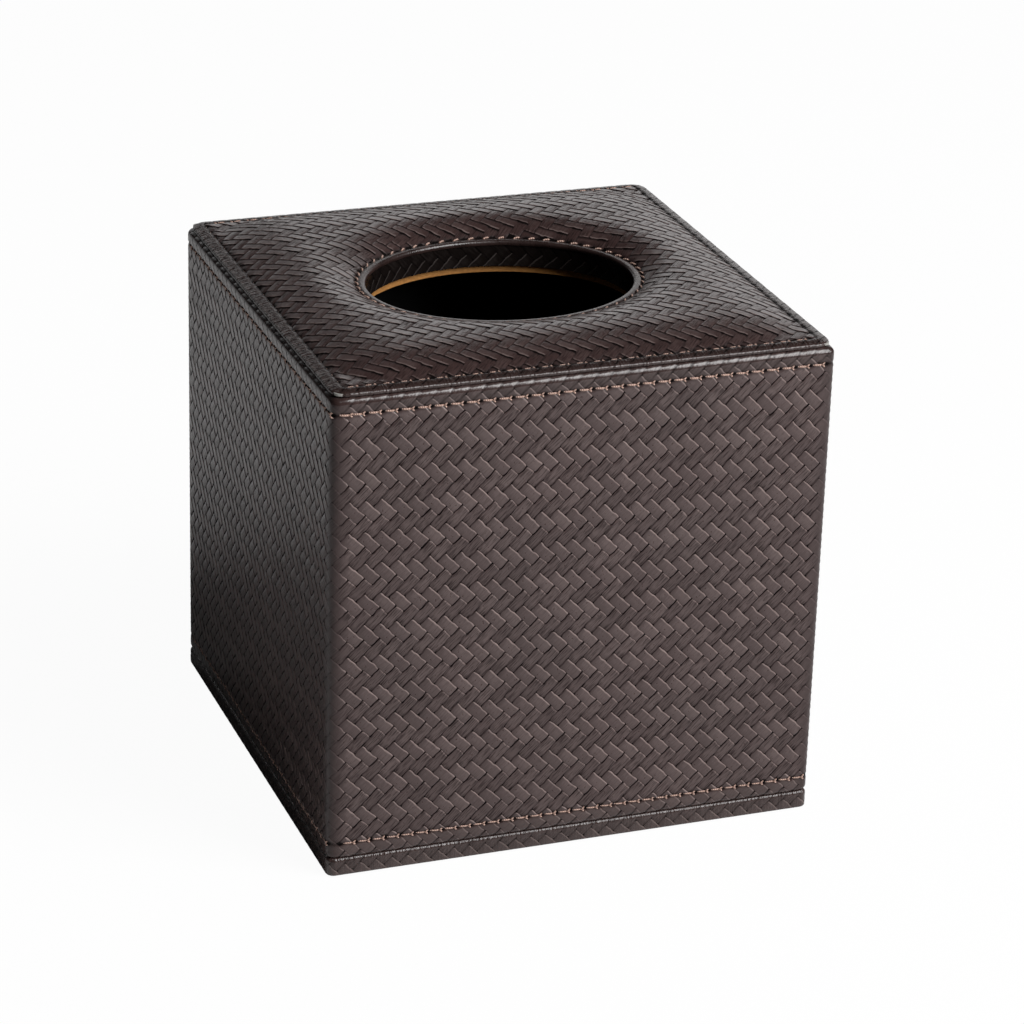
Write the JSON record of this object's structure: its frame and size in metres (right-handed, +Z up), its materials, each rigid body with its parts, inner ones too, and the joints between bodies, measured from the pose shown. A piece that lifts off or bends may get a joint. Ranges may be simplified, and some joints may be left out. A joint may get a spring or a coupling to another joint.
{
  "type": "tissue box cover",
  "caption": "Cube tissue box cover of board in dark brown woven-look leather, with a padded top, an oval mouth, stitched edges and a base it tips back from.",
  "frame": {"origin": "bottom centre, on the table", "axes": "+Z up, front face towards -Y, +X to the right seen from the front"},
  "size_m": [0.135, 0.135, 0.137],
  "materials": {
    "woven_leather": "embossed twill weave, satin",
    "plain_leather": "smooth, satin",
    "liner_leather": "embossed, glossy",
    "thread": "twisted sewing thread",
    "fibreboard": "raw fibreboard",
    "card": "grey card",
    "foam": "soft foam",
    "black_lining": "black flocked lining",
    "felt": "black felt",
    "magnet": "plated"
  },
  "bodies": {
    "base": {"base_board": "fibreboard", "base_wrap": "woven_leather", "base_lining": "black_lining", "base_felt": "felt", "base_magnets": "magnet", "hinge_lower_leaf": "plain_leather"},
    "cover": {"side_wrap": "woven_leather", "top_cover": "woven_leather", "mouth_binding": "plain_leather", "hinge_upper_leaf": "plain_leather", "mouth_liner": "liner_leather", "wall_top_thread": "thread", "wall_bottom_thread": "thread", "top_thread": "thread", "mouth_thread": "thread", "front_board": "fibreboard", "back_board": "fibreboard", "left_board": "fibreboard", "right_board": "fibreboard", "top_board": "fibreboard", "panel_infill": "card", "panel_card": "card", "top_pad": "foam", "wall_lining": "black_lining", "cover_magnets": "magnet"}
  },
  "joints": [
    {"name": "cover_hinge", "type": "hinge", "parent": "base", "child": "cover", "pos_m": [0, 0.0673, 0.00535], "axis": [-1, 0, 0], "range_deg": [0, 90]}
  ]
}
